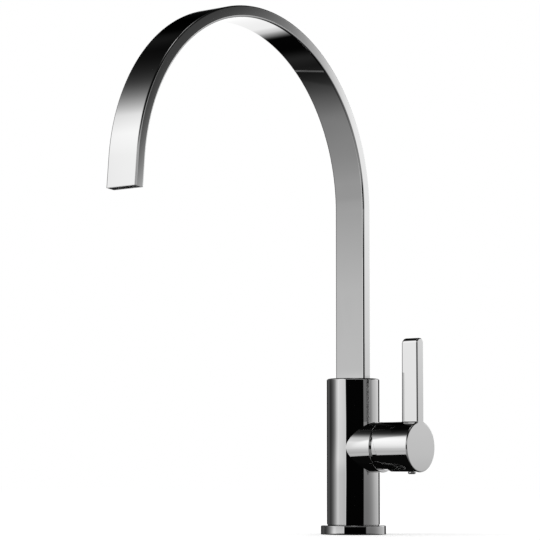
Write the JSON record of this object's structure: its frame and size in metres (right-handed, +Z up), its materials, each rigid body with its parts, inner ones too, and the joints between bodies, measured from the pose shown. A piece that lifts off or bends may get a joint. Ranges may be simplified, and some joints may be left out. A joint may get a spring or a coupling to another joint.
{
  "type": "kitchen tap",
  "caption": "Single-lever kitchen tap with a round column, a flat rectangular swan-neck spout that swivels, a side barrel handle with an upright bar lever and a separate filtered waterway.",
  "frame": {"origin": "centre of the base flange's underside, on the worktop's surface", "axes": "+Z up along the column, -Y the way the spout reaches at rest, +X along the valve barrel to the lever"},
  "size_m": [0.0876, 0.2941, 0.4427],
  "materials": {
    "chrome": "polished mirror chrome plate",
    "brass": "machined brass",
    "stainless": "fine turned steel",
    "seal_rubber": "matt moulded rubber",
    "cartridge_plastic": "moulded off-white plastic",
    "ceramic": "lapped white ceramic",
    "filter_hose": "natural food-grade plastic tube",
    "dark_plastic": "black moulded plastic"
  },
  "bodies": {
    "tap_body": {"column_body": "chrome", "base_flange": "chrome", "base_gasket": "seal_rubber", "threaded_shank": "brass", "inlet_block": "brass", "inlet_block_seals": "seal_rubber", "cartridge_base": "cartridge_plastic", "cartridge_base_seals": "seal_rubber", "fixed_ceramic_disc": "ceramic", "cartridge_housing": "cartridge_plastic", "cartridge_retaining_nut": "brass", "cover_dome": "chrome", "spout_retaining_screw": "stainless"},
    "spout": {"spout_tube": "chrome", "spout_foot": "brass", "swivel_cap": "chrome", "spigot_o_rings": "seal_rubber", "nipple_o_ring": "seal_rubber", "slide_rings": "cartridge_plastic", "filtered_water_tube": "filter_hose", "outlet_insert": "dark_plastic"},
    "cartridge_rotor": {"stem_carrier": "cartridge_plastic", "stem_pivot_pin": "stainless"},
    "mixing_disc": {"disc_carrier": "cartridge_plastic", "moving_ceramic_disc": "ceramic"},
    "lever_handle": {"handle": "chrome", "cartridge_stem": "stainless", "stem_adapter": "cartridge_plastic", "handle_grub_screw": "stainless", "handle_plug": "dark_plastic"},
    "clamp": {"clamp_rubber_washer": "seal_rubber", "clamp_steel_washer": "stainless", "fixing_nut": "brass"}
  },
  "joints": [
    {"name": "spout_swivel", "type": "hinge", "parent": "tap_body", "child": "spout", "pos_m": [0, 0, 0.1], "axis": [0, 0, 1], "range_deg": [-60, 60]},
    {"name": "handle_turn", "type": "hinge", "parent": "tap_body", "child": "cartridge_rotor", "pos_m": [0, 0, 0.06614], "axis": [1, 0, 0], "range_deg": [-60, 60]},
    {"name": "lever_tilt", "type": "hinge", "parent": "cartridge_rotor", "child": "lever_handle", "pos_m": [0.033, 0, 0.06614], "axis": [0, 1, 0], "range_deg": [0, 24]},
    {"name": "disc_slide", "type": "slide", "parent": "cartridge_rotor", "child": "mixing_disc", "axis": [0, 0, 1], "range_m": [0, 0.0031]},
    {"name": "clamp_slide", "type": "slide", "parent": "tap_body", "child": "clamp", "axis": [0, 0, -1], "range_m": [0, 0.08]}
  ],
  "couplings": [
    {"joint": "disc_slide", "follows": "lever_tilt", "m_per_rad": 0.00735}
  ]
}
